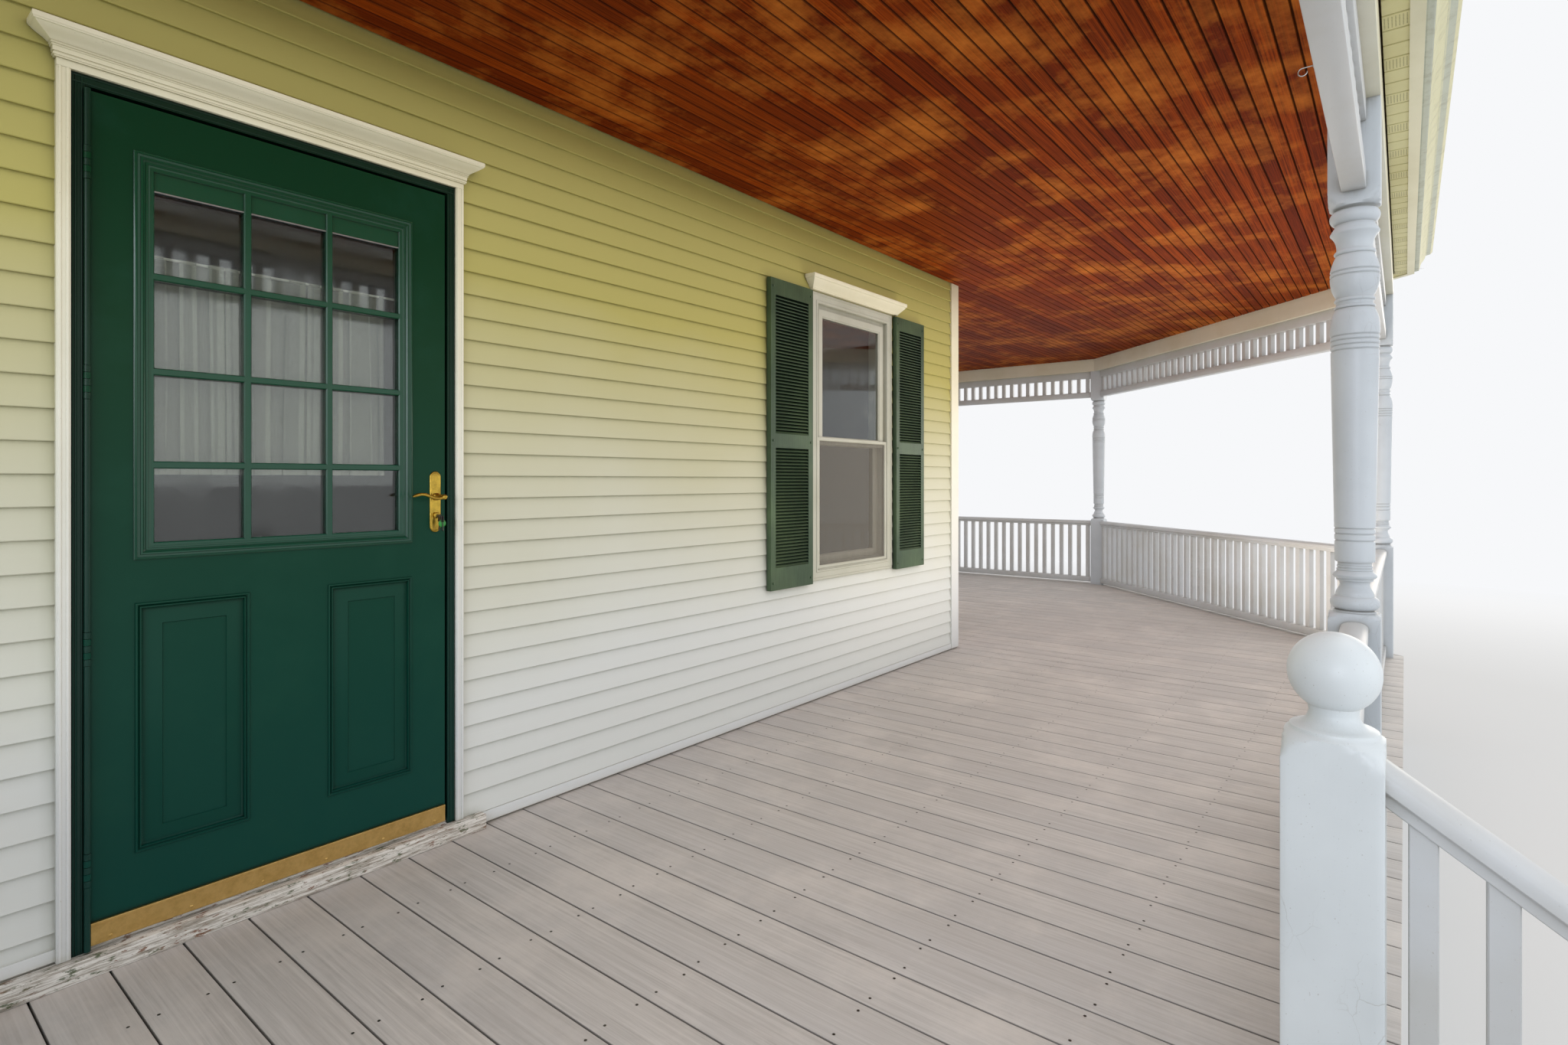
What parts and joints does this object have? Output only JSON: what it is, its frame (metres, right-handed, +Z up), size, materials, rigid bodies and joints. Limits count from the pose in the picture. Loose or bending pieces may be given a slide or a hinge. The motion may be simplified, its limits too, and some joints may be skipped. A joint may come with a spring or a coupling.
{
  "type": "front porch",
  "caption": "Wrap-around front porch with turned posts, slat railings and friezes, side stair, hipped roof and gutter, on two sided house walls with a hinged door and a shuttered window.",
  "frame": {"origin": "ground level, under the middle of the porch's outline", "axes": "+X along the front wall, from the stair end to the side porch; +Y from the front rail towards the house; +Z up"},
  "size_m": [9.975, 6.008, 4.38],
  "materials": {
    "concrete": "rough cast concrete",
    "lumber": "bare framing timber",
    "floor_board": "greyed porch boards, worn paint",
    "white_wood": "white paint on wood, semi-gloss",
    "ceiling_board": "red-brown stained tongued boards",
    "vinyl_trim": "cream-white moulded vinyl",
    "gutter_metal": "white enamel on aluminium",
    "roof_lumber": "timber and sheathing",
    "shingle": "mineral-surfaced asphalt",
    "siding_vinyl": "pale cream lapped siding",
    "door_green": "dark green enamel",
    "weathered_wood": "worn white paint, bare grey grain",
    "pane": "clear",
    "brass": "tarnished",
    "screen_mesh": "dark woven screen",
    "shutter_green": "dark green, fine grain"
  },
  "bodies": {
    "root": {"piers": "concrete", "foundation": "concrete", "floor_frame": "lumber", "porch_floor": "floor_board", "skirt": "white_wood", "stair_stringers": "lumber", "stair_treads": "floor_board", "newels": "white_wood", "stair_rails": "white_wood", "stair_post": "white_wood", "front_post": "white_wood", "front_corner_post": "white_wood", "side_corner_post": "white_wood", "back_corner_post": "white_wood", "back_post": "white_wood", "newel_railing": "white_wood", "front_railing": "white_wood", "corner_railing": "white_wood", "side_railing": "white_wood", "end_railings": "white_wood", "front_beam": "white_wood", "corner_beam": "white_wood", "side_beam": "white_wood", "end_beams": "white_wood", "stair_frieze": "white_wood", "front_frieze": "white_wood", "corner_frieze": "white_wood", "side_frieze": "white_wood", "end_friezes": "white_wood", "ceiling": "ceiling_board", "soffit": "vinyl_trim", "fascia": "vinyl_trim", "gutter": "gutter_metal", "roof_deck": "roof_lumber", "roof_shingles": "shingle", "wall_left": "roof_lumber", "wall_over_door": "roof_lumber", "wall_right": "roof_lumber", "side_wall": "roof_lumber", "siding": "siding_vinyl", "corner_trim": "white_wood", "base_trim": "white_wood", "door_frame": "door_green", "door_trim": "vinyl_trim", "door_sill": "weathered_wood", "frame_hinge_leaves": "door_green", "window_frame": "vinyl_trim", "window_glass": "pane", "window_screen": "screen_mesh", "window_trim": "vinyl_trim", "shutters": "shutter_green"},
    "door": {"door_leaf": "door_green", "door_glazing": "pane", "door_lite_frame": "door_green", "door_sweep": "brass", "door_handle": "brass", "door_hinge_leaves": "door_green"}
  },
  "joints": [
    {"name": "door_hinge", "type": "hinge", "parent": "root", "child": "door", "pos_m": [-4.0505, 0.039, 0], "axis": [0, 0, -1], "range_deg": [0, 100]}
  ]
}
